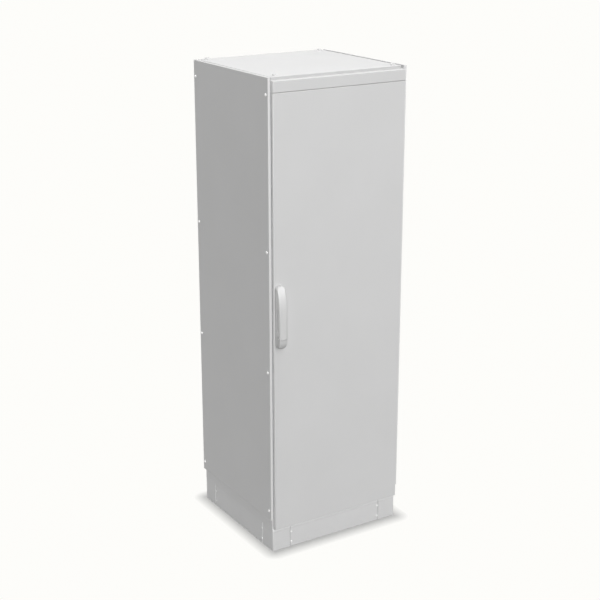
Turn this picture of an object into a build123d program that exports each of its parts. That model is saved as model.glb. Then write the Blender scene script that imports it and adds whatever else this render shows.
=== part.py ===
from build123d import *
import os
from math import cos, radians, sin

# Modular electrical cabinet, in millimetres. The front looks along -Y, +Z is up and the
# floor is Z = 0. The origin lies under the middle of the side panels.

# Overall sizes
total_height = 2100.0
cabinet_width = 680.0
frame_depth = 616.0
panel_sheet = 1.5
frame_sheet = 2.0
overrun = 5.0

# Plinth: four corners, four flush covers
plinth_height = 104.0
plinth_step = 4.0
plinth_setback = 1.6
corner_sheet = 2.5
corner_round = 3.0
corner_leg = 88.0
corner_tab = 24.0
corner_foot = 80.0
cover_sheet = 2.0
cover_flange = 16.0
cover_seam = 1.0
floor_hole_radius = 7.0
floor_hole_inset = 25.5
cover_screw_inset = 7.0
cover_screw_low = 21.0
cover_screw_spacing = 51.0

# Base and top rails, folded channels mitred at the corners
base_height = 51.0
base_overhang = 3.0
top_rail_height = 70.0
rail_flange = 52.0

# Corner posts, closed folded profile with a stepped inner corner
post_width = 53.0
post_depth = 50.0
post_front_leg = 26.0
post_side_leg = 28.0
seal_lip = 8.0
slot_width = 9.0
slot_height = 18.0
slot_pitch = 125.0

# Inner fittings
crossrail_width = 20.0
crossrail_height = 44.0
crossrail_height_shares = (0.33, 0.67)
gland_sheet = 2.0
gland_bearing = 22.0
gland_gap = 1.0
plate_sheet = 2.5
plate_side_gap = 13.0
plate_margin_low = 36.0
plate_margin_high = 34.0
plate_fold = 15.0
plate_setback = 62.0
bracket_sheet = 3.0
bracket_height = 60.0
bracket_bearing = 23.0
bracket_height_shares = (0.12, 0.88)

# Side panels and rear panel, shallow pans with return lips on the posts
side_pan = 12.0
panel_lap = 7.0
side_lip = 22.0
panel_round = 2.0
side_screw_inset = 16.0
side_screw_low = 42.0
side_screw_high = 70.0
side_screw_shares = (0.0, 0.355, 0.645, 1.0)
rear_pan = 7.0
rear_side_gap = 1.5
rear_low_gap = 2.0
rear_lip = 18.0
rear_screw_inset = 14.0
rear_screw_end = 45.0
rear_screw_shares = (0.0, 0.5, 1.0)

# Roof and header
roof_height = 15.0
roof_side_setback = 9.0
roof_front_setback = 4.0
roof_rear_setback = 2.0
roof_round = 3.0
roof_bolt_side_inset = 30.0
roof_bolt_end_inset = 24.0
header_height = 47.5
header_round = 3.0
header_rear_gap = 0.5

# Fasteners: width across the flats and height of the head
panel_screw_across = 12.0
panel_screw_rise = 3.0
plinth_screw_across = 10.0
plinth_screw_rise = 2.0
roof_bolt_across = 19.0
roof_bolt_rise = 8.0
roof_bolt_shank = 6.0
roof_bolt_length = 24.0
fastener_clearance = 0.3

# Door: a folded pan, its stiffeners and its foamed seal
door_reveal = 15.0
door_depth = 13.5
door_projection = 14.0
door_sill = 4.5
door_gap = 1.2
door_round = 2.5
seal_width = 12.0
seal_inset = 11.0
seal_touch = 0.3
stiffener_width = 24.0
stiffener_foot = 9.0
stiffener_height = 9.0
stiffener_inset = 5.0
stiffener_margin = 46.0

# Hinges: arm on the post, two ears on the door, one pin
hinge_edge = 11.5
hinge_inset = 6.5
hinge_pin_radius = 2.5
hinge_pin_overhang = 1.5
hinge_knuckle_radius = 4.4
hinge_arm_height = 20.0
hinge_arm_sheet = 4.0
hinge_arm_reach = 17.0
hinge_plate_width = 20.0
hinge_plate_height = 50.0
hinge_plate_sheet = 3.0
hinge_ear_height = 6.0
hinge_ear_depth = 10.0
hinge_ear_end = 6.0
hinge_play = 0.6
hinge_height_shares = (0.09, 0.5, 0.91)
running_clearance = 0.08
press_clearance = 0.02

# Handle: fixed base, turning hub, lever that swings out of the base
handle_inset = 23.2
handle_hub_height = 984.0
base_width = 40.5
base_thickness = 12.5
base_below_hub = 22.0
base_above_hub = 258.0
round_end_share = 0.96
grip_width = 37.5
grip_standoff = 0.3
grip_front = 36.7
grip_thickness = 11.5
grip_round = 5.0
grip_end_gap = 2.0
grip_tip = 3.2
grip_bend_drop = 110.0
finger_gap_low = 24.0
finger_gap_high = 98.0
finger_gap_round = 11.0
hub_bottom_gap = 1.5
hub_bend_rise = 34.0
hub_tip = 5.0
seam_above_hub = 28.0
seat_clearance = 1.25
cheek_width = 21.6
cheek_clearance = 0.4
lever_pin_radius = 2.5
lever_pin_end_gap = 0.5
spindle_radius = 6.0
spindle_clearance = 0.3
spindle_square = 8.0

# Lock: cam on the spindle, two rods in guides, two keepers on the frame
cam_radius = 17.0
cam_sheet = 3.5
cam_skin_gap = 1.0
cam_pin_circle = 12.0
cam_pin_radius = 2.5
cam_pin_start = 45.0
rod_sheet = 3.0
rod_width = 14.0
rod_side_gap = 3.0
rod_cam_gap = 0.4
rod_slot_play = 0.8
rod_slot_side_play = 0.7
rod_end_margin = 10.0
rod_tip_gap = 7.0
guide_wall = 1.5
guide_height = 16.0
guide_clearance = 0.4
guide_height_shares = (0.22, 0.8)
case_sheet = 1.2
case_height = 92.0
case_side_gap = 1.0
case_rod_gap = 2.0
keeper_sheet = 2.7
keeper_height = 15.0
keeper_grip = 12.0
keeper_flange = 15.0
keeper_rod_gap = 0.7
keeper_tongue = 13.0

# Places that several pieces share
half_width = cabinet_width / 2
frame_x = half_width - side_pan
frame_y = frame_depth / 2
half_depth = frame_y + panel_lap
base_x = frame_x + base_overhang
base_top = plinth_height + base_height
rail_top = total_height - roof_height
post_top = rail_top - top_rail_height
opening_x = frame_x - post_width
plinth_x = base_x - plinth_setback
plinth_y = frame_y + plinth_step
door_front = -half_depth - door_projection
door_back = door_front + door_depth
door_inner = door_front + panel_sheet
header_top = rail_top + panel_sheet
header_bottom = header_top - header_height
door_top = header_bottom - door_gap
door_bottom = plinth_height + door_sill
door_x = half_width - door_reveal
flange_x = door_x - panel_sheet
seal_x = opening_x + frame_sheet / 2
seal_low = door_bottom + seal_inset
seal_high = door_top - seal_inset
lip_front = -frame_y - seal_lip
plate_y = frame_y - post_front_leg - plate_setback
plate_x = opening_x - plate_side_gap
handle_x = -door_x + handle_inset
hinge_x = door_x - hinge_edge
hinge_y = door_front + hinge_inset
hub_low = handle_hub_height - base_below_hub + hub_bottom_gap
seam_height = handle_hub_height + seam_above_hub
grip_back = base_thickness + grip_standoff
knuckle_radius = (grip_front - grip_back) / 2
lever_pin_out = grip_back + knuckle_radius
cam_front = door_inner + cam_skin_gap
cam_back = cam_front + cam_sheet
rod_front = cam_back + rod_cam_gap
rod_back = rod_front + rod_sheet
cam_pin_rise = cam_pin_circle * sin(radians(cam_pin_start))
cam_pin_reach = cam_pin_circle * cos(radians(cam_pin_start))


def block(x_span, y_span, z_span):
    """Box between two corners."""
    spans = (x_span, y_span, z_span)
    middle = [(low + high) / 2 for low, high in spans]
    size = [abs(high - low) for low, high in spans]
    return Pos(*middle) * Box(*size)


def prism(outline, z_low, z_high):
    """Upright prism over a plan outline."""
    face = Pos(0, 0, z_low) * Polygon(*outline, align=None)
    return extrude(face, amount=z_high - z_low, dir=(0, 0, 1))


def rod(centre, axis, radius, low, high):
    """Round bar along one axis, between two places on that axis."""
    x, y, z = centre
    planes = {
        "x": Plane(origin=(low, y, z), z_dir=(1, 0, 0)),
        "y": Plane(origin=(x, low, z), z_dir=(0, 1, 0)),
        "z": Plane(origin=(x, y, low), z_dir=(0, 0, 1)),
    }
    return extrude(planes[axis] * Circle(radius), amount=high - low)


def mirrored(shape):
    """The same piece on the other side of the cabinet."""
    return mirror(shape, about=Plane.YZ)


def place_shares(low, high, shares):
    """Places between two ends, one for each share of the way."""
    return [low + (high - low) * share for share in shares]


def hexagon_head(across_flats, rise):
    """Hexagon head of a screw or bolt, seated at Z = 0."""
    return extrude(RegularPolygon(across_flats / 2, 6, major_radius=False), amount=rise)


def on_face(shape, point, normal):
    """Stands a +Z shape on a point of a face, pointing out along its normal."""
    return Plane(origin=point, z_dir=normal) * shape


def plinth_corner(side, end):
    """Folded corner with joggled tabs behind the covers and two bolting flanges."""
    step = cover_sheet
    leg = corner_leg
    reach = corner_leg + corner_tab
    inner_step = step + corner_sheet
    inner_leg = leg - corner_sheet
    arm = [
        (leg, 0),
        (leg, step),
        (reach, step),
        (reach, inner_step),
        (inner_leg, inner_step),
        (inner_leg, corner_sheet),
    ]
    other_arm = [(v, u) for u, v in reversed(arm)]
    outline = [(0, 0)] + arm + [(corner_sheet, corner_sheet)] + other_arm
    shape = prism(outline, 0, plinth_height)
    web_end = (corner_foot, corner_sheet)
    foot = [(0, 0), (corner_foot, 0), web_end, web_end[::-1], (0, corner_foot)]
    for low in (0, plinth_height - corner_sheet):
        shape += prism(foot, low, low + corner_sheet)
    fold = shape.edges().filter_by(Axis.Z).sort_by_distance((0, 0, 0))[0]
    shape = fillet(fold, corner_round)
    hole = (floor_hole_inset, floor_hole_inset, 0)
    shape -= rod(hole, "z", floor_hole_radius, -overrun, corner_sheet + overrun)
    placed = Pos(-plinth_x, -plinth_y, 0) * shape
    if side > 0:
        placed = mirror(placed, about=Plane.YZ)
    if end > 0:
        placed = mirror(placed, about=Plane.XZ)
    return placed


def plinth_cover(span_half):
    """Front cover along X: flush plate with top and bottom flanges between the tabs."""
    plate_half = span_half - corner_leg - cover_seam
    flange_half = span_half - corner_leg - corner_tab - cover_seam
    front = -plinth_y
    shape = block((-plate_half, plate_half), (front, front + cover_sheet), (0, plinth_height))
    for low in (0, plinth_height - cover_sheet):
        shape += block((-flange_half, flange_half), (front, front + cover_flange), (low, low + cover_sheet))
    return shape


def cover_screw_places(span_half):
    """Two screws at each end of a cover."""
    x = span_half - corner_leg - cover_seam - cover_screw_inset
    heights = (cover_screw_low, cover_screw_low + cover_screw_spacing)
    return [(side * x, z) for side in (-1, 1) for z in heights]


def side_cover_turn():
    """Turns a front cover so that it closes the left side of the plinth."""
    return Pos(plinth_y - plinth_x, 0, 0) * Rot(0, 0, -90)


def plinth_screws():
    """Screws of all four covers."""
    head = hexagon_head(plinth_screw_across, plinth_screw_rise)
    shapes = []
    for turn, span in ((Pos(0, 0, 0), plinth_x), (side_cover_turn(), plinth_y)):
        for x, z in cover_screw_places(span):
            shapes.append(turn * on_face(head, (x, -plinth_y, z), (0, -1, 0)))
    return shapes + [Rot(0, 0, 180) * shape for shape in shapes]


def flat_ring(x_half, y_half, width, z_low, z_high):
    """Rectangular ring, all four sides of one width."""
    outer = block((-x_half, x_half), (-y_half, y_half), (z_low, z_high))
    x_in = x_half - width
    y_in = y_half - width
    return outer - block((-x_in, x_in), (-y_in, y_in), (z_low - overrun, z_high + overrun))


def channel_rails(x_half, z_low, z_high):
    """Four channels with flanges turned inwards, cut at 45 degrees where they meet."""
    y_half = frame_y
    ring = flat_ring(x_half, y_half, frame_sheet, z_low, z_high)
    ring += flat_ring(x_half, y_half, rail_flange, z_low, z_low + frame_sheet)
    ring += flat_ring(x_half, y_half, rail_flange, z_high - frame_sheet, z_high)
    cut = rail_flange + overrun
    x_cut = x_half - cut
    y_cut = y_half - cut
    front = [(-x_half, -y_half), (x_half, -y_half), (x_cut, -y_cut), (-x_cut, -y_cut)]
    left = [(-x_half, y_half), (-x_half, -y_half), (-x_cut, -y_cut), (-x_cut, y_cut)]
    rails = {"front": ring & prism(front, z_low, z_high), "left": ring & prism(left, z_low, z_high)}
    rails["rear"] = mirror(rails["front"], about=Plane.XZ)
    rails["right"] = mirrored(rails["left"])
    return rails


def seal_rim(z_edge, z_meet):
    """Lip across the door opening, with short upright ends that meet the lips of the posts."""
    x_out = opening_x + frame_sheet
    y_span = (lip_front, -frame_y)
    inwards = frame_sheet if z_meet > z_edge else -frame_sheet
    shape = block((-x_out, x_out), y_span, (z_edge - inwards / 2, z_edge + inwards / 2))
    for side in (-1, 1):
        shape += block((side * opening_x, side * x_out), y_span, (z_edge - inwards / 2, z_meet))
    return shape


def post(side, end):
    """Closed stepped profile, punched along the face that looks into the cabinet."""
    wall = frame_sheet
    outline = [
        (0, 0),
        (post_width, 0),
        (post_width, post_front_leg),
        (post_side_leg, post_front_leg),
        (post_side_leg, post_depth),
        (0, post_depth),
    ]
    hollow = [
        (wall, wall),
        (post_width - wall, wall),
        (post_width - wall, post_front_leg - wall),
        (post_side_leg - wall, post_front_leg - wall),
        (post_side_leg - wall, post_depth - wall),
        (wall, post_depth - wall),
    ]
    shape = prism(outline, base_top, post_top) - prism(hollow, base_top - overrun, post_top + overrun)
    if end < 0:
        shape += block((post_width - wall, post_width), (-seal_lip, wall), (base_top, post_top))
    leg_middle = post_front_leg / 2
    along = (leg_middle - slot_width / 2, leg_middle + slot_width / 2)
    through = (post_width - 2 * wall, post_width + wall)
    shape -= [block(through, along, z_span) for z_span in slot_spans(base_top, post_top)]
    placed = Pos(-frame_x, -frame_y, 0) * shape
    if side > 0:
        placed = mirror(placed, about=Plane.YZ)
    if end > 0:
        placed = mirror(placed, about=Plane.XZ)
    return placed


def slot_spans(low, high):
    """Spans of the punched slots, one pitch apart, centred between two ends."""
    count = int((high - low - slot_height) / slot_pitch)
    first = (low + high - slot_pitch * (count - 1)) / 2
    middles = [first + slot_pitch * index for index in range(count)]
    return [(middle - slot_height / 2, middle + slot_height / 2) for middle in middles]


def side_screw_heights():
    """Heights of the screws along one edge of a side panel."""
    return place_shares(base_top + side_screw_low, total_height - side_screw_high, side_screw_shares)


def crossrails():
    """Two punched channels from the front post to the rear post on the left side."""
    length = frame_y - post_depth
    outer_x = -frame_x + frame_sheet
    inner_x = outer_x + crossrail_width
    rails = []
    for middle in place_shares(base_top, post_top, crossrail_height_shares):
        low = middle - crossrail_height / 2
        high = middle + crossrail_height / 2
        rail = block((outer_x, inner_x), (-length, length), (low, high))
        hollow_z = (low + frame_sheet, high - frame_sheet)
        through = (-length - overrun, length + overrun)
        rail -= block((outer_x - overrun, inner_x - frame_sheet), through, hollow_z)
        z_span = (middle - slot_width / 2, middle + slot_width / 2)
        x_span = (inner_x - 2 * frame_sheet, inner_x + frame_sheet)
        rail -= [block(x_span, y_span, z_span) for y_span in slot_spans(-length, length)]
        rails.append(rail)
    return rails


def gland_plate():
    """Front half of the floor of the cabinet, lying on the flanges of the side base rails."""
    x = base_x - rail_flange + gland_bearing
    front = -frame_y + rail_flange + gland_gap
    return block((-x, x), (front, -gland_gap), (base_top, base_top + gland_sheet))


def mounting_plate():
    """Plate with its two long edges folded back."""
    z_span = (base_top + plate_margin_low, post_top - plate_margin_high)
    shape = block((-plate_x, plate_x), (plate_y, plate_y + plate_sheet), z_span)
    fold_y = (plate_y, plate_y + plate_sheet + plate_fold)
    for side in (-1, 1):
        edge = side * plate_x
        shape += block((edge - side * plate_sheet, edge), fold_y, z_span)
    return shape


def plate_brackets():
    """Four angles that carry the folded edges of the mounting plate on the rear posts."""
    seat = frame_y - post_front_leg
    foot_x = (plate_x, opening_x + bracket_bearing)
    brackets = []
    for z in place_shares(base_top, post_top, bracket_height_shares):
        z_span = (z - bracket_height / 2, z + bracket_height / 2)
        foot = block(foot_x, (seat - bracket_sheet, seat), z_span)
        leg = block((plate_x, plate_x + bracket_sheet), (plate_y + plate_sheet, seat), z_span)
        brackets += [foot + leg, mirrored(foot + leg)]
    return brackets


def side_panel():
    """Left side panel: folded pan, with return lips that lie on the front and rear posts."""
    outer = -half_width
    inner = -frame_x
    z_span = (base_top, total_height)
    shape = block((outer, inner), (-half_depth, half_depth), z_span)
    shape = fillet(shape.faces().sort_by(Axis.X)[0].edges(), panel_round)
    y_in = half_depth - panel_sheet
    hollow_z = (base_top + panel_sheet, total_height - panel_sheet)
    shape -= block((outer + panel_sheet, inner + overrun), (-y_in, y_in), hollow_z)
    lip_y = half_depth - side_lip
    for end in (-1, 1):
        shape += block((inner - panel_sheet, inner), (end * y_in, end * lip_y), hollow_z)
    return shape


def side_screw_points():
    """Seats of the screws on the left side panel."""
    y = half_depth - side_screw_inset
    return [(-half_width, end * y, z) for end in (-1, 1) for z in side_screw_heights()]


def side_screws():
    """Screws of both side panels."""
    head = hexagon_head(panel_screw_across, panel_screw_rise)
    left = [on_face(head, point, (-1, 0, 0)) for point in side_screw_points()]
    return left + [mirrored(shape) for shape in left]


def rear_screw_points():
    """Seats of the screws on the rear panel."""
    x = door_x - rear_side_gap - rear_screw_inset
    low = base_top + rear_low_gap + rear_screw_end
    high = rail_top - rear_low_gap - rear_screw_end
    heights = place_shares(low, high, rear_screw_shares)
    return [(side * x, frame_y + rear_pan, z) for side in (-1, 1) for z in heights]


def rear_panel():
    """Shallow pan between the side panels, its lips on the rear posts."""
    x = door_x - rear_side_gap
    back = frame_y + rear_pan
    z_low = base_top + rear_low_gap
    z_high = rail_top - rear_low_gap
    shape = block((-x, x), (frame_y, back), (z_low, z_high))
    shape = fillet(shape.faces().sort_by(Axis.Y)[-1].edges(), panel_round)
    x_in = x - panel_sheet
    hollow_z = (z_low + panel_sheet, z_high - panel_sheet)
    shape -= block((-x_in, x_in), (frame_y - overrun, back - panel_sheet), hollow_z)
    for side in (-1, 1):
        lip = (side * x_in, side * (x - rear_lip))
        shape += block(lip, (frame_y, frame_y + panel_sheet), hollow_z)
    return shape


def rear_screws():
    """Screws of the rear panel."""
    head = hexagon_head(panel_screw_across, panel_screw_rise)
    return [on_face(head, point, (0, 1, 0)) for point in rear_screw_points()]


def roof_bolt_points():
    """Places of the four roof bolts."""
    x = frame_x - roof_side_setback - roof_bolt_side_inset
    front = -frame_y + roof_front_setback + roof_bolt_end_inset
    rear = half_depth - roof_rear_setback - roof_bolt_end_inset
    return [(side * x, y) for side in (-1, 1) for y in (front, rear)]


def roof_panel():
    """Pan turned down over the top rails."""
    x = frame_x - roof_side_setback
    y_span = (-frame_y + roof_front_setback, half_depth - roof_rear_setback)
    shape = block((-x, x), y_span, (rail_top, total_height))
    shape = fillet(shape.faces().sort_by(Axis.Z)[-1].edges(), roof_round)
    x_in = x - panel_sheet
    y_in = (y_span[0] + panel_sheet, y_span[1] - panel_sheet)
    shape -= block((-x_in, x_in), y_in, (rail_top - overrun, total_height - panel_sheet))
    bore = roof_bolt_shank + fastener_clearance
    for px, py in roof_bolt_points():
        shape -= rod((px, py, 0), "z", bore, rail_top, total_height + overrun)
    return shape


def roof_bolts():
    """Hexagon bolts through the roof into the top rails."""
    head = hexagon_head(roof_bolt_across, roof_bolt_rise)
    bolt = head + rod((0, 0, 0), "z", roof_bolt_shank, -roof_bolt_length, 0)
    return [Pos(x, y, total_height) * bolt for x, y in roof_bolt_points()]


def header_panel():
    """Pan above the door, hooked on the top rail and closed against its face."""
    back = -frame_y
    shape = block((-door_x, door_x), (door_front, back), (header_bottom, header_top))
    front_edges = shape.faces().sort_by(Axis.Y)[0].edges()
    shape = fillet(front_edges, header_round)
    x_in = door_x - panel_sheet
    hollow_z = (header_bottom + panel_sheet, header_top - panel_sheet)
    shape -= block((-x_in, x_in), (door_inner, back + overrun), hollow_z)
    hook = (back, back + roof_front_setback - header_rear_gap)
    x_hook = frame_x - roof_side_setback
    return shape + block((-x_hook, x_hook), hook, (rail_top, header_top))


def door_panel():
    """Door pan with the hole for the spindle of the handle."""
    shape = block((-door_x, door_x), (door_front, door_back), (door_bottom, door_top))
    shape = fillet(shape.faces().sort_by(Axis.Y)[0].edges(), door_round)
    hollow_z = (door_bottom + panel_sheet, door_top - panel_sheet)
    shape -= block((-flange_x, flange_x), (door_inner, door_back + overrun), hollow_z)
    through = (door_front - overrun, door_inner + overrun)
    hub = (handle_x, 0, handle_hub_height)
    return shape - rod(hub, "y", spindle_radius + spindle_clearance, *through)


def door_seal():
    """Foamed seal that closes on the lips of the frame."""
    half = seal_width / 2
    y_span = (door_inner, lip_front - seal_touch)
    outer = block((-seal_x - half, seal_x + half), y_span, (seal_low - half, seal_high + half))
    cut_y = (y_span[0] - overrun, y_span[1] + overrun)
    return outer - block((half - seal_x, seal_x - half), cut_y, (seal_low + half, seal_high - half))


def door_stiffener():
    """Hat section welded inside the door, on the lock side."""
    sheet = panel_sheet
    x_near = -seal_x + seal_width / 2 + stiffener_inset
    rise = stiffener_height
    crown = stiffener_foot + stiffener_width
    full = crown + stiffener_foot
    outline = [
        (0, 0),
        (stiffener_foot, 0),
        (stiffener_foot, rise - sheet),
        (crown, rise - sheet),
        (crown, 0),
        (full, 0),
        (full, sheet),
        (crown + sheet, sheet),
        (crown + sheet, rise),
        (stiffener_foot - sheet, rise),
        (stiffener_foot - sheet, sheet),
        (0, sheet),
    ]
    z_low = door_bottom + stiffener_margin
    z_high = door_top - stiffener_margin
    return Pos(x_near, door_inner, 0) * prism(outline, z_low, z_high)


def hinge_heights():
    """Heights of the three hinges."""
    return place_shares(door_bottom, door_top, hinge_height_shares)


def hinge_arm(z):
    """Plate on the post with a forward arm that ends in the eye of the pin."""
    half = hinge_arm_height / 2
    z_span = (z - half, z + half)
    leg_x = hinge_x - hinge_arm_reach
    near = hinge_y - hinge_arm_sheet / 2
    far = hinge_y + hinge_arm_sheet / 2
    plate_z = (z - hinge_plate_height / 2, z + hinge_plate_height / 2)
    plate_x = (leg_x + hinge_arm_sheet - hinge_plate_width, leg_x + hinge_arm_sheet)
    shape = block(plate_x, (-frame_y - hinge_plate_sheet, -frame_y), plate_z)
    shape += block((leg_x, leg_x + hinge_arm_sheet), (near, -frame_y), z_span)
    shape += block((leg_x, hinge_x), (near, far), z_span)
    eye = (hinge_x, hinge_y, z)
    shape += rod(eye, "z", hinge_knuckle_radius, *z_span)
    bore = hinge_pin_radius + running_clearance
    return shape - rod(eye, "z", bore, z - half - overrun, z + half + overrun)


def hinge_ears(z):
    """Two ears on the edge flange of the door, above and below the arm."""
    ears = []
    for side in (-1, 1):
        near = z + side * (hinge_arm_height / 2 + hinge_play)
        far = near + side * hinge_ear_height
        y_span = (door_inner, door_inner + hinge_ear_depth)
        ear = block((hinge_x - hinge_ear_end, flange_x), y_span, (near, far))
        low = min(near, far) - overrun
        high = max(near, far) + overrun
        ears.append(ear - rod((hinge_x, hinge_y, z), "z", hinge_pin_radius + press_clearance, low, high))
    return ears


def hinge_pin(z):
    """Pin through both ears and the arm."""
    reach = hinge_arm_height / 2 + hinge_play + hinge_ear_height + hinge_pin_overhang
    return rod((hinge_x, hinge_y, z), "z", hinge_pin_radius, z - reach, z + reach)


def front_outline(width, low, high, round_low, round_high):
    """Upright outline on the handle axis, its ends round or square, on the XZ plane."""
    half = width / 2
    shape = Pos(handle_x, (low + high) / 2) * Rectangle(width, high - low)
    if round_high:
        top = shape.vertices().group_by(Axis.Y)[-1]
        shape = fillet(top, half * round_end_share)
    if round_low:
        bottom = shape.vertices().group_by(Axis.Y)[0]
        shape = fillet(bottom, half * round_end_share)
    return shape


def forward(outline, near, far):
    """Extrudes an XZ outline between two distances in front of the door."""
    face = Plane(origin=(0, door_front - near, 0), x_dir=(1, 0, 0), z_dir=(0, -1, 0)) * outline
    return extrude(face, amount=far - near)


def lever_axis_rod(radius, x_low, x_high):
    """Bar on the swing axis of the lever, between two distances from the handle's middle."""
    centre = (0, door_front - lever_pin_out, seam_height)
    return rod(centre, "x", radius, handle_x + x_low, handle_x + x_high)


def handle_base():
    """Fixed back plate with the bearing of the spindle."""
    low = handle_hub_height - base_below_hub
    high = handle_hub_height + base_above_hub
    shape = forward(front_outline(base_width, low, high, True, True), 0, base_thickness)
    hub = (handle_x, 0, handle_hub_height)
    bore = spindle_radius + running_clearance
    return shape - rod(hub, "y", bore, door_front - base_thickness - overrun, door_front + overrun)


def hub_side():
    """Side outline of the hub, in distances from the door and heights."""
    bend = hub_low + hub_bend_rise
    front = Line((grip_front, seam_height), (grip_front, bend))
    curve = TangentArc((grip_front, bend), (grip_back + hub_tip, hub_low), tangent=(0, -1))
    rear = Polyline(
        (grip_back + hub_tip, hub_low),
        (grip_back, hub_low),
        (grip_back, seam_height),
        (grip_front, seam_height),
    )
    return make_face(front + curve + rear)


def rounded_grip(side, outline):
    """Crosses a side outline with a front outline and rounds the front rim."""
    half = grip_width / 2
    plane = Plane(origin=(handle_x - half, door_front, 0), x_dir=(0, -1, 0), z_dir=(-1, 0, 0))
    shape = extrude(plane * side, amount=-grip_width)
    shape &= forward(outline, grip_back, grip_front)
    front_faces = shape.faces().sort_by(Axis.Y)[:2]
    rim = front_faces.edges().filter_by(Axis.X, reverse=True)
    return fillet(rim, grip_round)


def handle_hub():
    """Turning foot of the handle, with ears for the lever pin and a square-ended spindle."""
    shape = rounded_grip(hub_side(), front_outline(grip_width, hub_low, seam_height, True, False))
    half = grip_width / 2
    shape += lever_axis_rod(knuckle_radius, -half, half)
    cheek = cheek_width / 2 + cheek_clearance
    shape -= lever_axis_rod(knuckle_radius + seat_clearance, -cheek, cheek)
    shape -= lever_axis_rod(lever_pin_radius + press_clearance, -half - overrun, half + overrun)
    hub = (handle_x, 0, handle_hub_height)
    shape += rod(hub, "y", spindle_radius, door_front - grip_back, cam_front)
    square = Pos(handle_x, handle_hub_height) * Rectangle(spindle_square, spindle_square)
    return shape + forward(square, door_front - cam_back, door_front - cam_front)


def lever_side():
    """Side outline of the lever, in distances from the door and heights."""
    tip = handle_hub_height + base_above_hub - grip_end_gap
    bend = tip - grip_bend_drop
    grip_rear = grip_front - grip_thickness
    gap_low = seam_height + finger_gap_low
    gap_high = tip - finger_gap_high
    corner = finger_gap_round
    front = Line((grip_front, seam_height), (grip_front, bend))
    slope = TangentArc((grip_front, bend), (grip_back + grip_tip, tip), tangent=(0, 1))
    rear = Polyline(
        (grip_back + grip_tip, tip),
        (grip_back, tip),
        (grip_back, gap_high),
    )
    gap_top = TangentArc((grip_back, gap_high), (grip_rear, gap_high - corner), tangent=(1, 0))
    grip = Line((grip_rear, gap_high - corner), (grip_rear, gap_low + corner))
    gap_bottom = TangentArc((grip_rear, gap_low + corner), (grip_back, gap_low), tangent=(0, -1))
    foot = Polyline((grip_back, gap_low), (grip_back, seam_height), (grip_front, seam_height))
    return make_face(front + slope + rear + gap_top + grip + gap_bottom + foot)


def handle_lever():
    """Grip that arches over the finger gap, pivoting between the ears of the hub."""
    half = grip_width / 2
    tip = handle_hub_height + base_above_hub - grip_end_gap
    shape = rounded_grip(lever_side(), front_outline(grip_width, seam_height, tip, False, True))
    cheek = cheek_width / 2
    seat = knuckle_radius + seat_clearance
    shape -= lever_axis_rod(seat, -half - overrun, -cheek)
    shape -= lever_axis_rod(seat, cheek, half + overrun)
    shape += lever_axis_rod(knuckle_radius, -cheek, cheek)
    return shape - lever_axis_rod(lever_pin_radius + running_clearance, -half, half)


def lever_pin():
    """Pivot pin of the lever."""
    reach = grip_width / 2 - lever_pin_end_gap
    return lever_axis_rod(lever_pin_radius, -reach, reach)


def lock_cam():
    """Disc on the square of the spindle, with one driving pin for each rod."""
    hub = (handle_x, 0, handle_hub_height)
    shape = rod(hub, "y", cam_radius, cam_front, cam_back)
    square = Pos(handle_x, handle_hub_height) * Rectangle(spindle_square, spindle_square)
    shape -= forward(square, door_front - cam_back - overrun, door_front - cam_front + overrun)
    for side in (-1, 1):
        place = (handle_x + side * cam_pin_reach, 0, handle_hub_height + side * cam_pin_rise)
        shape += rod(place, "y", cam_pin_radius, cam_back, rod_back)
    return shape


def rod_x_span(side):
    """Sides of the upper rod (+1) or of the lower rod (-1)."""
    near = handle_x + side * rod_side_gap
    return (near, near + side * rod_width)


def lock_rod(side):
    """Flat bar with a cross slot for its driving pin; +1 runs up, -1 runs down."""
    start = handle_hub_height + side * (cam_pin_rise - rod_end_margin)
    tip = door_top - panel_sheet - rod_tip_gap if side > 0 else door_bottom + panel_sheet + rod_tip_gap
    shape = block(rod_x_span(side), (rod_front, rod_back), (start, tip))
    pin_z = handle_hub_height + side * cam_pin_rise
    play = cam_pin_radius + rod_slot_play
    side_play = cam_pin_radius + rod_slot_side_play
    near = handle_x + side * (cam_pin_reach - side_play)
    far = handle_x + side * (cam_pin_circle + side_play)
    through = (rod_front - overrun, rod_back + overrun)
    return shape - block((near, far), through, (pin_z - play, pin_z + play))


def rod_guides():
    """Moulded guides on the door skin, two for each rod."""
    guides = []
    for side in (-1, 1):
        near, far = rod_x_span(side)
        low = far if side < 0 else near
        high = near if side < 0 else far
        slot_x = (low - guide_clearance, high + guide_clearance)
        slot_y = (rod_front - guide_clearance, rod_back + guide_clearance)
        end = door_top if side > 0 else door_bottom
        for z in place_shares(handle_hub_height, end, guide_height_shares):
            z_span = (z - guide_height / 2, z + guide_height / 2)
            outer_x = (slot_x[0] - guide_wall, slot_x[1] + guide_wall)
            guide = block(outer_x, (door_inner, slot_y[1] + guide_wall), z_span)
            guides.append(guide - block(slot_x, slot_y, (z_span[0] - overrun, z_span[1] + overrun)))
    return guides


def lock_case():
    """Folded cover over the cam, open at both ends for the rods."""
    reach = rod_side_gap + rod_width + case_side_gap
    back = rod_back + case_rod_gap
    z_span = (handle_hub_height - case_height / 2, handle_hub_height + case_height / 2)
    outer = reach + case_sheet
    shape = block((handle_x - outer, handle_x + outer), (door_inner, back + case_sheet), z_span)
    cut_z = (z_span[0] - overrun, z_span[1] + overrun)
    return shape - block((handle_x - reach, handle_x + reach), (door_inner - overrun, back), cut_z)


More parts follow.
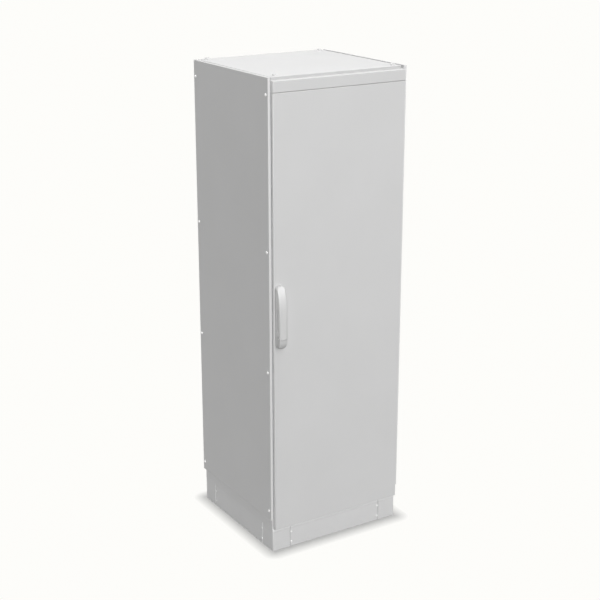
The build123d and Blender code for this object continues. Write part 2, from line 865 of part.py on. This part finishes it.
def rod_keeper(side):
    """Hook on the frame whose tongue stands in front of the tip of a rod."""
    near, far = rod_x_span(side)
    leg_x = (near - side * keeper_rod_gap, near - side * (keeper_rod_gap + keeper_sheet))
    tongue_back = rod_front - keeper_rod_gap
    tongue_y = (tongue_back - keeper_sheet, tongue_back)
    tip = door_top - panel_sheet - rod_tip_gap if side > 0 else door_bottom + panel_sheet + rod_tip_gap
    z_span = (tip - side * keeper_grip, tip - side * keeper_grip + side * keeper_height)
    shape = block(leg_x, (tongue_y[0], -frame_y), z_span)
    shape += block((leg_x[1], near + side * keeper_tongue), tongue_y, z_span)
    flange_end = leg_x[1] - side * keeper_flange
    return shape + block((leg_x[0], flange_end), (-frame_y - keeper_sheet, -frame_y), z_span)


def plinth_nodes():
    """Plinth corners, covers and screws."""
    nodes = {
        "plinth_corner_front_left": plinth_corner(-1, -1),
        "plinth_corner_front_right": plinth_corner(1, -1),
        "plinth_corner_rear_left": plinth_corner(-1, 1),
        "plinth_corner_rear_right": plinth_corner(1, 1),
    }
    front = plinth_cover(plinth_x)
    left = side_cover_turn() * plinth_cover(plinth_y)
    nodes["plinth_cover_front"] = front
    nodes["plinth_cover_rear"] = mirror(front, about=Plane.XZ)
    nodes["plinth_cover_left"] = left
    nodes["plinth_cover_right"] = mirrored(left)
    nodes["plinth_screws"] = plinth_screws()
    return nodes


def frame_nodes():
    """Base rails, posts, top rails and what is fixed inside them."""
    nodes = {}
    base = channel_rails(base_x, plinth_height, base_top)
    base["front"] += seal_rim(seal_low, base_top)
    top = channel_rails(frame_x, post_top, rail_top)
    top["front"] += seal_rim(seal_high, post_top)
    bolt_bores = [
        rod((x, y, 0), "z", roof_bolt_shank + fastener_clearance, rail_top - overrun, rail_top + overrun)
        for x, y in roof_bolt_points()
    ]
    for side in ("front", "rear", "left", "right"):
        nodes["base_rail_" + side] = base[side]
        nodes["top_rail_" + side] = top[side] - bolt_bores
    for end_name, end in (("front", -1), ("rear", 1)):
        for side_name, side in (("left", -1), ("right", 1)):
            nodes["post_" + end_name + "_" + side_name] = post(side, end)
    rails = crossrails()
    nodes["side_crossrails_left"] = rails
    nodes["side_crossrails_right"] = [mirrored(rail) for rail in rails]
    nodes["gland_plate_front"] = gland_plate()
    nodes["gland_plate_rear"] = mirror(gland_plate(), about=Plane.XZ)
    nodes["mounting_plate"] = mounting_plate()
    nodes["mounting_plate_brackets"] = plate_brackets()
    return nodes


def shell_nodes():
    """Panels, roof and header with their screws."""
    left = side_panel()
    return {
        "side_panel_left": left,
        "side_panel_right": mirrored(left),
        "side_panel_screws": side_screws(),
        "rear_panel": rear_panel(),
        "rear_panel_screws": rear_screws(),
        "roof_panel": roof_panel(),
        "roof_bolts": roof_bolts(),
        "header_panel": header_panel(),
    }


def door_nodes():
    """Door, hinges, handle and lock."""
    stiffener = door_stiffener()
    heights = hinge_heights()
    return {
        "door_panel": door_panel(),
        "door_seal": door_seal(),
        "door_stiffener_lock_side": stiffener,
        "door_stiffener_hinge_side": mirrored(stiffener),
        "hinge_arms": [hinge_arm(z) for z in heights],
        "hinge_ears": [ear for z in heights for ear in hinge_ears(z)],
        "hinge_pins": [hinge_pin(z) for z in heights],
        "handle_base": handle_base(),
        "handle_hub": handle_hub(),
        "handle_lever": handle_lever(),
        "handle_lever_pin": lever_pin(),
        "lock_cam": lock_cam(),
        "lock_case": lock_case(),
        "upper_lock_rod": lock_rod(1),
        "lower_lock_rod": lock_rod(-1),
        "rod_guides": rod_guides(),
        "rod_keepers": [rod_keeper(1), rod_keeper(-1)],
    }


os.makedirs("parts", exist_ok=True)
for group in (plinth_nodes(), frame_nodes(), shell_nodes(), door_nodes()):
    for node, shape in group.items():
        solid = Compound(shape) if isinstance(shape, list) else shape
        export_step(solid, "parts/" + node + ".step")
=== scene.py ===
import math

import bmesh
import bpy
from mathutils import Matrix, Vector


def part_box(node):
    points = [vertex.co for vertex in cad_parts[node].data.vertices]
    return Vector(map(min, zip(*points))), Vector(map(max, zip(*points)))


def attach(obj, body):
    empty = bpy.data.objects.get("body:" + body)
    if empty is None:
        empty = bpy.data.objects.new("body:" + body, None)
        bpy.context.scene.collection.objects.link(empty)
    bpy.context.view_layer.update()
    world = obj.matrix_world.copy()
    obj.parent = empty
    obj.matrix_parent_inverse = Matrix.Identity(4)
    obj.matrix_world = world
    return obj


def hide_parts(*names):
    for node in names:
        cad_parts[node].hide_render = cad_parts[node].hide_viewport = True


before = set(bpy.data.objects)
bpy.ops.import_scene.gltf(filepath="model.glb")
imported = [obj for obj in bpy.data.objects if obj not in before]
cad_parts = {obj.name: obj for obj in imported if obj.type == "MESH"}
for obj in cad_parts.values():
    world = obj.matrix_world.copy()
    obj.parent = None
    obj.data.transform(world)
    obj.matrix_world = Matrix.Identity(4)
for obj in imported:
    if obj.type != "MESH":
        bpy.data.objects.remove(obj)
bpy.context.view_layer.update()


# Plinth: four folded corners and four flush covers of sheet steel under the cabinet, held
# together by screws. They are powder coated light grey. The coat is paler than the panels', and
# paler still on the side covers, as painted light against the shade low down by the floor. More
# painted light lies along the top fold and the outer sides of the corners, painted shade in the
# seams of the front and rear covers, and a painted highlight at the ends of the side covers.
class Wire:
    """A socket in a node tree; sums and products of wires add Math nodes."""

    def __init__(self, tree, socket):
        self.tree = tree
        self.socket = socket

    def combine(self, operation, other):
        return self.tree.node("ShaderNodeMath", {"operation": operation}, {0: self, 1: other})

    def __add__(self, other):
        return self.combine("ADD", other)

    def __mul__(self, other):
        return self.combine("MULTIPLY", other)

    __radd__ = __add__
    __rmul__ = __mul__


class Tree:
    """A node tree and the one method that adds a node to it."""

    def __init__(self, owner):
        owner.use_nodes = True
        self.nodes = owner.node_tree.nodes
        self.links = owner.node_tree.links

    def node(self, kind, settings, inputs, output=0):
        made = self.nodes.new(kind)
        for key, value in settings.items():
            setattr(made, key, value)
        for key, value in inputs.items():
            if isinstance(value, Wire):
                self.links.new(value.socket, made.inputs[key])
            else:
                made.inputs[key].default_value = value
        return Wire(self, made.outputs[output])


class Finish(Tree):
    """One material, with the constants of its shader."""

    def __init__(self, name, constants):
        self.material = bpy.data.materials.new(name)
        super().__init__(self.material)
        self.shader = self.nodes["Principled BSDF"]
        for socket, value in constants.items():
            self.shader.inputs[socket].default_value = value

    def place(self):
        return self.node("ShaderNodeTexCoord", {}, {}, "Object")

    def noise(self, place, scale, detail):
        return self.node("ShaderNodeTexNoise", {}, {"Vector": place, "Scale": scale, "Detail": detail})

    def cells(self, place, scale, output):
        return self.node("ShaderNodeTexVoronoi", {}, {"Vector": place, "Scale": scale}, output)

    def between(self, share, low, high):
        return self.node("ShaderNodeMix", {"data_type": "RGBA"}, {0: share, 6: low, 7: high}, 2)

    def ramp(self, place, axis, start, end):
        """Share that goes from 0 to 1 between two distances from the origin along one axis."""
        along = self.node("ShaderNodeSeparateXYZ", {}, {0: place}, axis)
        reach = self.node("ShaderNodeMath", {"operation": "ABSOLUTE"}, {0: along})
        return self.node("ShaderNodeMapRange", {}, {"Value": reach, "From Min": start, "From Max": end})

    def bump(self, height, strength, distance):
        inputs = {"Height": height, "Strength": strength, "Distance": distance}
        return self.node("ShaderNodeBump", {}, inputs, "Normal")

    def feed(self, wires):
        for socket, wire in wires.items():
            self.links.new(wire.socket, self.shader.inputs[socket])


def grey(level):
    """Opaque neutral grey."""
    return (level, level, level, 1)


def rim(axis, edge, start, end, tone):
    """Band of painted light or painted shade on a coat, which sets in between two depths inside an
    edge.
    """
    return axis, edge - start, edge - end, grey(tone)


def coat(name, deep, pale, rough, painted_bands):
    """Baked powder coat: fine peel in the gloss, slow clouds in the tone, sheet not quite flat.

    Each painted band lays painted light or painted shade of its own tone along an edge, fold or seam.
    """
    paint = Finish(name, {"Specular IOR Level": 0.42, "IOR": 1.48})
    place = paint.place()
    peel = paint.noise(place, scale=620.0, detail=2.0)
    grain = paint.noise(place, scale=2400.0, detail=1.0)
    cloud = paint.noise(place, scale=3.1, detail=3.0)
    sheet = paint.noise(place, scale=1.7, detail=1.0)
    colour = paint.between(cloud * 0.6 + peel * 0.25 + grain * 0.15, grey(deep), grey(pale))
    for axis, start, end, tone in painted_bands:
        colour = paint.between(paint.ramp(place, axis, start, end), colour, tone)
    paint.feed({
        "Base Color": colour,
        "Roughness": rough + peel * 0.12 + cloud * 0.05,
        "Normal": paint.bump(peel * 0.05 + grain * 0.02 + sheet, strength=0.35, distance=0.0012),
    })
    return paint


same_point = 0.000002
sharp_fold_deg = 40


def dress(names, finish, ease, steps=2):
    """Gives solids their finish, joins their facets and eases their edges."""
    for name in names:
        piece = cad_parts[name]
        for held in piece.material_slots:
            held.material = finish.material
        joined = piece.modifiers.new("joined_facets", "WELD")
        joined.merge_threshold = same_point
        eased = piece.modifiers.new("eased_edges", "BEVEL")
        eased.width = ease
        eased.segments = steps
        eased.limit_method = "ANGLE"
        eased.angle_limit = math.radians(sharp_fold_deg)
        eased.harden_normals = True


corners = [end + "_" + side for end in ("front", "rear") for side in ("left", "right")]
# Painted light: the plinth paint is paler than the panels', and the side covers' paler still.
plinth_paint_painted_light = {"deep": 0.655, "pale": 0.745, "rough": 0.44}
side_cover_paint_painted_light = {"deep": 0.69, "pale": 0.78, "rough": 0.44}
plinth_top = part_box("plinth_corner_front_left")[1][2]
plinth_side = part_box("plinth_corner_front_right")[1][0]
cover_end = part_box("plinth_cover_front")[1][0]
cover_side_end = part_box("plinth_cover_left")[1][1]
fold_band = (0.0130, 0.0030)
edge_band = (0.0016, 0.0006)
seam_band = (0.0042, 0.0034)
# Painted light: paler along the plinth's top fold, in the shade under the door, and on the outer sides
# of the corners.
painted_light_top_fold = rim("Z", plinth_top, *fold_band, tone=0.95)
painted_light_corner_sides = rim("X", plinth_side, *edge_band, tone=0.72)
# Painted shade: darker where the front and rear covers meet the corners.
painted_shade_cover_seams = rim("X", cover_end, *seam_band, tone=0.56)
# Painted highlight: paler at the ends of the side covers.
painted_highlight_cover_ends = rim("Y", cover_side_end, *seam_band, tone=0.95)
corner_coat = coat("plinth_corner_coat", painted_bands=[painted_light_top_fold, painted_light_corner_sides], **plinth_paint_painted_light)
front_cover_coat = coat("front_cover_coat", painted_bands=[painted_light_top_fold, painted_shade_cover_seams], **plinth_paint_painted_light)
side_cover_coat = coat("side_cover_coat", painted_bands=[painted_highlight_cover_ends], **side_cover_paint_painted_light)
plinth_ease = 0.0012
dress(["plinth_corner_" + corner for corner in corners], corner_coat, plinth_ease)
dress(["plinth_cover_front", "plinth_cover_rear"], front_cover_coat, plinth_ease)
dress(["plinth_cover_left", "plinth_cover_right"], side_cover_coat, plinth_ease)


# Cover screws: zinc plated pan heads with a six-lobed recess, one pair at each end of a cover.
# Each head is turned and its recess is punched with a tapered tool. The heads on the side
# covers are sprayed over with the covers and share their painted light, and the others are bare.
def punched_head(radius, rise, ring):
    """Mesh of one pan head, seated at Z = 0, with a ring of metal round a six-lobed recess."""
    sides = 24
    lobe_step = sides // 6
    crown_share = 0.55
    depth_share = 0.55
    valley_share = 0.72
    taper_share = 0.9
    head = bmesh.new()
    bmesh.ops.create_circle(head, cap_ends=True, segments=sides, radius=radius)
    raised = bmesh.ops.extrude_face_region(head, geom=head.faces[:])
    crown = [v for v in raised["geom"] if isinstance(v, bmesh.types.BMVert)]
    bmesh.ops.translate(head, verts=crown, vec=(0, 0, rise))
    top = max(head.faces, key=lambda face: face.calc_center_median().z)
    bmesh.ops.bevel(
        head,
        geom=list(top.edges),
        offset=rise * crown_share,
        affect="EDGES",
        segments=4,
        profile=0.5,
        material=-1,
    )
    top = max(head.faces, key=lambda face: face.calc_center_median().z)
    bmesh.ops.inset_region(head, faces=[top], thickness=ring, use_even_offset=True)
    valleys = [v for index, v in enumerate(top.verts) if index % lobe_step == lobe_step // 2]
    bmesh.ops.scale(head, verts=valleys, vec=(valley_share, valley_share, 1))
    sunk = bmesh.ops.extrude_face_region(head, geom=[top])
    bottom = [v for v in sunk["geom"] if isinstance(v, bmesh.types.BMVert)]
    bmesh.ops.delete(head, geom=[top], context="FACES_ONLY")
    bmesh.ops.translate(head, verts=bottom, vec=(0, 0, -rise * depth_share))
    bmesh.ops.scale(head, verts=bottom, vec=(taper_share, taper_share, 1))
    bmesh.ops.recalc_face_normals(head, faces=head.faces[:])
    mesh = bpy.data.meshes.new("head")
    head.to_mesh(mesh)
    head.free()
    return mesh


def solids_of(name):
    """Lowest and highest corner of each separate solid in a CAD node."""
    bm = bmesh.new()
    bm.from_mesh(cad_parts[name].data)
    bmesh.ops.remove_doubles(bm, verts=bm.verts[:], dist=same_point)
    reached = set()
    boxes = []
    for first in bm.verts:
        if first in reached:
            continue
        reached.add(first)
        group = [first]
        for v in group:
            for edge in v.link_edges:
                other = edge.other_vert(v)
                if other not in reached:
                    reached.add(other)
                    group.append(other)
        boxes.append((
            Vector([min(v.co[axis] for v in group) for axis in range(3)]),
            Vector([max(v.co[axis] for v in group) for axis in range(3)]),
        ))
    bm.free()
    return boxes


def put(name, data):
    """Adds one object to the scene."""
    placed = bpy.data.objects.new(name, data)
    bpy.context.scene.collection.objects.link(placed)
    return placed


def seat_heads(name, head, node, front_finish, side_finish):
    """One piece with a copy of the head on every seat of a CAD node of fasteners."""
    rim_fold_deg = 35
    whole = bmesh.new()
    for low, high in solids_of(node):
        middle = (low + high) / 2
        axis = min(range(3), key=lambda index: high[index] - low[index])
        outward = Vector((0, 0, 0))
        outward[axis] = math.copysign(1, middle[axis])
        seat = middle.copy()
        seat[axis] = low[axis] if outward[axis] > 0 else high[axis]
        turn = outward.to_track_quat("Z", "Y").to_matrix().to_4x4()
        verts_before = len(whole.verts)
        faces_before = len(whole.faces)
        whole.from_mesh(head)
        whole.verts.ensure_lookup_table()
        added = whole.verts[verts_before:]
        bmesh.ops.transform(whole, matrix=Matrix.Translation(seat) @ turn, verts=added)
        for face in whole.faces[faces_before:]:
            face.material_index = 1 if axis == 0 else 0
    mesh = bpy.data.meshes.new(name)
    whole.to_mesh(mesh)
    whole.free()
    mesh.materials.append(front_finish.material)
    mesh.materials.append(side_finish.material)
    mesh.shade_smooth()
    piece = put(name, mesh)
    crisp = piece.modifiers.new("crisp_rim", "EDGE_SPLIT")
    crisp.split_angle = math.radians(rim_fold_deg)
    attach(piece, "frame")
    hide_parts(node)


def plating(name, deep, pale, rough):
    """Zinc plate: faint clouds in the tone, fine flecks in the shine."""
    zinc = Finish(name, {"Metallic": 0.35, "IOR": 1.6})
    place = zinc.place()
    cloud = zinc.noise(place, scale=140.0, detail=3.0)
    fleck = zinc.noise(place, scale=1800.0, detail=2.0)
    zinc.feed({
        "Base Color": zinc.between(cloud * 0.7 + fleck * 0.3, deep, pale),
        "Roughness": rough + fleck * 0.16,
        "Normal": zinc.bump(fleck, strength=0.12, distance=0.0002),
    })
    return zinc


bright_zinc = plating("bright_zinc_plate", grey(0.80), grey(0.92), rough=0.26)
cover_head = punched_head(radius=0.0052, rise=0.0022, ring=0.00174)
seat_heads("plinth_cover_screw_heads", cover_head, "plinth_screws", bright_zinc, side_cover_coat)


# Base and top rails, corner posts: folded channels and closed stepped profiles of 2 mm
# sheet. The base rails show under the door and are coated a paler grey than the panels, as
# painted light against the shade under the side panels; the rest stays galvanised.
def galvanised(name, deep, pale):
    """Hot-dip galvanised sheet: crystals of zinc, each with its own tone and shine."""
    zinc = Finish(name, {"Metallic": 0.25, "IOR": 1.5})
    place = zinc.place()
    crystal = zinc.cells(place, scale=85.0, output="Color")
    shade = zinc.node("ShaderNodeSeparateColor", {}, {0: crystal})
    fleck = zinc.noise(place, scale=900.0, detail=3.0)
    roll = zinc.noise(place, scale=9.0, detail=2.0)
    zinc.feed({
        "Base Color": zinc.between(shade * 0.5 + fleck * 0.2 + roll * 0.3, deep, pale),
        "Roughness": 0.34 + shade * 0.14 + fleck * 0.08,
        "Normal": zinc.bump(fleck * 0.3 + shade, strength=0.06, distance=0.0003),
    })
    return zinc


frame_zinc = galvanised("galvanised_sheet", (0.60, 0.61, 0.62, 1), (0.76, 0.77, 0.78, 1))
# Painted light: the base rails are painted paler than the panels.
rail_coat_painted_light = coat("rail_powder_coat", deep=0.68, pale=0.76, rough=0.44, painted_bands=[])
rail_ease = 0.0006
sheet_ease = 0.0004
sides = ("front", "rear", "left", "right")
dress(["base_rail_" + side for side in sides], rail_coat_painted_light, rail_ease)
dress(["top_rail_" + side for side in sides], frame_zinc, sheet_ease)
dress(["post_" + corner for corner in corners], frame_zinc, sheet_ease)


# Inner fittings: crossrails between the posts, the two-part floor, the mounting plate and
# its brackets, all cut and folded from galvanised sheet and left bare.
cut_ease = 0.0003
dress(["side_crossrails_left", "side_crossrails_right"], frame_zinc, cut_ease)
dress(["gland_plate_front", "gland_plate_rear"], frame_zinc, cut_ease)
dress(["mounting_plate", "mounting_plate_brackets"], frame_zinc, sheet_ease)


# Side panels, rear panel and roof: shallow folded pans, powder coated. The panels are screwed
# to the posts along their upright edges, and the roof is bolted to the top rails. The folds at
# the edges of the side panels carry painted light, and the roof's turned down sides painted shade.
shell_paint = {"deep": 0.61, "pale": 0.69, "rough": 0.44}
panel_front = -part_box("side_panel_left")[0][1]
# Painted light: the folds at the front and rear edges of the side panels are painted paler.
painted_light_panel_folds = rim("Y", panel_front, *edge_band, tone=0.71)
panel_coat = coat("panel_powder_coat", painted_bands=[painted_light_panel_folds], **shell_paint)
rear_coat = coat("rear_powder_coat", painted_bands=[], **shell_paint)
dress(["side_panel_left", "side_panel_right"], panel_coat, sheet_ease)
dress(["rear_panel"], rear_coat, sheet_ease)
roof_paint = {**shell_paint, "rough": 0.64}
roof_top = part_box("roof_panel")[1][2]
below_top_band = (0.0012, 0.0026)
# Painted shade: the roof's turned down sides are painted darker than its top.
painted_shade_roof_sides = rim("Z", roof_top, *below_top_band, tone=0.51)
roof_coat = coat("roof_powder_coat", painted_bands=[painted_shade_roof_sides], **roof_paint)
dress(["roof_panel"], roof_coat, sheet_ease)
panel_head = punched_head(radius=0.0062, rise=0.0034, ring=0.00199)
seat_heads("side_panel_screw_heads", panel_head, "side_panel_screws", bright_zinc, bright_zinc)
seat_heads("rear_panel_screw_heads", panel_head, "rear_panel_screws", bright_zinc, bright_zinc)
dull_zinc = plating("dull_zinc_plate", grey(0.56), grey(0.70), rough=0.36)
bolt_ease = 0.0008
dress(["roof_bolts"], dull_zinc, bolt_ease)


# Door and header: folded pans with rounded edges, powder coated. The door has two galvanised
# hat sections welded inside and a seal of black foam, run on as a liquid bead that sets.
def foamed(name, deep, pale):
    """Soft foam: fine open cells under a skin that waves slightly."""
    foam = Finish(name, {"Specular IOR Level": 0.25})
    place = foam.place()
    cell = foam.cells(place, scale=1300.0, output="Distance")
    wave = foam.noise(place, scale=45.0, detail=2.0)
    foam.feed({
        "Base Color": foam.between(cell, deep, pale),
        "Roughness": 0.78 + cell * 0.15,
        "Normal": foam.bump(cell * 0.2 + wave, strength=0.5, distance=0.0006),
    })
    return foam


# Painted light: the door's upright edges and its bottom edge are painted paler, in place of light in
# the shade beside and under it.
door_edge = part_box("door_panel")[1][0]
painted_light_door_edges = rim("X", door_edge, *edge_band, tone=0.72)
door_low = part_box("door_panel")[0][2]
above_low_band = (-0.0022, -0.0006)
painted_light_door_foot = rim("Z", door_low, *above_low_band, tone=0.95)
door_coat = coat("door_powder_coat", painted_bands=[painted_light_door_edges, painted_light_door_foot], **shell_paint)
dress(["door_panel", "header_panel"], door_coat, sheet_ease)
dress(["door_stiffener_lock_side", "door_stiffener_hinge_side"], frame_zinc, cut_ease)
seal_foam = foamed("foamed_seal", (0.018, 0.018, 0.019, 1), (0.06, 0.06, 0.062, 1))
bead_round = 0.0042
dress(["door_seal"], seal_foam, bead_round, steps=5)


# Hinges: galvanised arms on the post and ears inside the edge of the door, both blanked from
# plate, and zinc plated pins cut from drawn bar.
dress(["hinge_arms", "hinge_ears"], frame_zinc, sheet_ease)
dress(["hinge_pins"], bright_zinc, sheet_ease)


# Handle: base plate, turning hub and swing lever, moulded in light grey plastic with a fine
# eroded texture and more shine on the lever. The base plate and hub are painted a darker grey
# than the lever as painted shade. The lever turns on a zinc plated pin between the ears of the hub.
def moulding(name, deep, pale, rough, shine):
    """Moulded plastic: fine eroded texture, slight flow clouds, satin shine."""
    plastic = Finish(name, {"Specular IOR Level": shine, "IOR": 1.55})
    place = plastic.place()
    grain = plastic.noise(place, scale=1500.0, detail=2.0)
    flow = plastic.noise(place, scale=18.0, detail=2.0)
    plastic.feed({
        "Base Color": plastic.between(flow * 0.7 + grain * 0.3, deep, pale),
        "Roughness": rough + grain * 0.1,
        "Normal": plastic.bump(grain, strength=0.10, distance=0.0002),
    })
    return plastic


lever_plastic = moulding("light_grey_moulding", grey(0.57), grey(0.67), rough=0.30, shine=1.0)
# Painted shade: the base plate and hub are a darker grey than the lever.
base_plastic_painted_shade = moulding("grey_moulding", grey(0.52), grey(0.60), rough=0.38, shine=0.3)
base_round = 0.0022
grip_ease = 0.0006
dress(["handle_base"], base_plastic_painted_shade, base_round, steps=4)
dress(["handle_hub"], base_plastic_painted_shade, grip_ease)
dress(["handle_lever"], lever_plastic, grip_ease)
dress(["handle_lever_pin"], bright_zinc, cut_ease)


# Lock: a cam on the spindle, two flat rods in moulded guides, a folded case over the cam and
# two hooked keepers on the frame. The steel is galvanised and the guides are black plastic.
lock_steel = ["lock_cam", "lock_case", "upper_lock_rod", "lower_lock_rod", "rod_keepers"]
dress(lock_steel, frame_zinc, cut_ease)
black = (0.02, 0.02, 0.021, 1)
faded_black = (0.05, 0.05, 0.052, 1)
guide_plastic = moulding("black_moulding", black, faded_black, rough=0.42, shine=0.5)
guide_ease = 0.0004
dress(["rod_guides"], guide_plastic, guide_ease)


# Studio: a pale floor, grey round the plinth as a painted shadow that also holds the real soft
# shadow there, and white further out, a pale dome, and soft lamps beside the camera, on the
# left, overhead, on the right, behind, low on the right in front and high in front.
def shown_to(tree):
    """One for rays that see the surroundings: straight, in a reflection or through glass."""
    straight = tree.node("ShaderNodeLightPath", {}, {}, "Is Camera Ray")
    mirrored = tree.node("ShaderNodeLightPath", {}, {}, "Is Glossy Ray")
    through = tree.node("ShaderNodeLightPath", {}, {}, "Is Transmission Ray")
    return straight + mirrored + through


floor_half = 40
floor_mesh = bpy.data.meshes.new("floor")
floor_bm = bmesh.new()
bmesh.ops.create_grid(floor_bm, x_segments=1, y_segments=1, size=floor_half)
floor_bm.to_mesh(floor_mesh)
floor_bm.free()
floor = put("floor", floor_mesh)

backdrop = (0.985, 0.98, 0.955, 1)
floor_as_lit = (0.15, 0.15, 0.149, 1)
floor_tone_in_painted_shadow = (0.46, 0.46, 0.455, 1)
ground = Finish("pale_floor", {"Roughness": 0.9, "Specular IOR Level": 0.0})
seen = shown_to(ground)
ground.feed({"Base Color": ground.between(seen, floor_as_lit, floor_tone_in_painted_shadow)})


def vector_math(operation, *inputs):
    """Vector Math node on the floor's places."""
    return ground.node("ShaderNodeVectorMath", {"operation": operation}, dict(enumerate(inputs)))


# Painted shadow: the floor shows its grey tone near the plinth's footprint and fades to white beyond
# it.
middle_to_origin = (0, 0.007, 0)
footprint_half = (0.326, 0.317, 0)
shadow_start = -0.008
shadow_end = 0.066
from_middle = vector_math("ABSOLUTE", vector_math("ADD", ground.place(), middle_to_origin))
past_footprint = vector_math("SUBTRACT", from_middle, footprint_half)
outside = vector_math("MAXIMUM", past_footprint, (0, 0, 0))
away = ground.node("ShaderNodeVectorMath", {"operation": "LENGTH"}, {0: outside}, "Value")
fade_inputs = {"Value": away, "From Min": shadow_start, "From Max": shadow_end}
painted_shadow_fade = ground.node("ShaderNodeMapRange", {}, fade_inputs)
white = ground.node("ShaderNodeEmission", {}, {"Color": backdrop, "Strength": 1.0})
matt = Wire(ground, ground.shader.outputs[0])
mixed = ground.node("ShaderNodeMixShader", {}, {0: painted_shadow_fade * seen, 1: matt, 2: white})
ground.links.new(mixed.socket, ground.nodes["Material Output"].inputs["Surface"])
floor_mesh.materials.append(ground.material)

world = bpy.data.worlds.new("studio")
bpy.context.scene.world = world
air = Tree(world)
dome = air.node("ShaderNodeBackground", {}, {"Color": grey(1), "Strength": 0.02})
backing = air.node("ShaderNodeBackground", {}, {"Color": backdrop, "Strength": 1.0})
choice = air.node("ShaderNodeMixShader", {}, {0: shown_to(air), 1: dome, 2: backing})
air.links.new(choice.socket, air.nodes["World Output"].inputs["Surface"])


def facing(direction):
    """Turn that points a lamp along a direction."""
    return Vector(direction).to_track_quat("-Z", "Y").to_euler()


def broad_lamp(name, strength, spread_deg, towards):
    """Far, broad lamp that shines along one direction."""
    lamp = bpy.data.lights.new(name, "SUN")
    lamp.energy = strength
    lamp.angle = math.radians(spread_deg)
    put(name, lamp).rotation_euler = facing(towards)


broad_lamp("beside_camera", strength=1.82, spread_deg=12, towards=(0.503, 0.806, -0.311))
broad_lamp("on_the_left", strength=0.20, spread_deg=40, towards=(1, 0, -0.25))
broad_lamp("overhead", strength=1.76, spread_deg=30, towards=(0, 0, -1))
broad_lamp("on_the_right", strength=1.40, spread_deg=40, towards=(-1, 0, -0.25))
broad_lamp("behind", strength=1.40, spread_deg=40, towards=(0, -1, -0.25))
broad_lamp("low_right_front", strength=0.34, spread_deg=14, towards=(-0.5, 0.83, -0.22))
panel_lamp = bpy.data.lights.new("high_front", "AREA")
panel_lamp.energy = 92
panel_lamp.size = 2.5
lamp_place = Vector((-0.5, -4.6, 5.2))
lamp_target = Vector((0, -0.33, 1.4))
lamp_holder = put("high_front", panel_lamp)
lamp_holder.location = lamp_place
lamp_holder.rotation_euler = facing(lamp_target - lamp_place)

view_down_deg = 18.133
view_turn_deg = -31.976
view = bpy.data.cameras.new("photo_view")
view.lens = 77.465
view.sensor_width = 36
view_holder = put("photo_view", view)
view_holder.location = (-2.9351, -4.7127, 2.8506)
view_holder.rotation_euler = (math.radians(90 - view_down_deg), 0, math.radians(view_turn_deg))
bpy.context.scene.camera = view_holder
bpy.context.scene.view_settings.view_transform = "Standard"
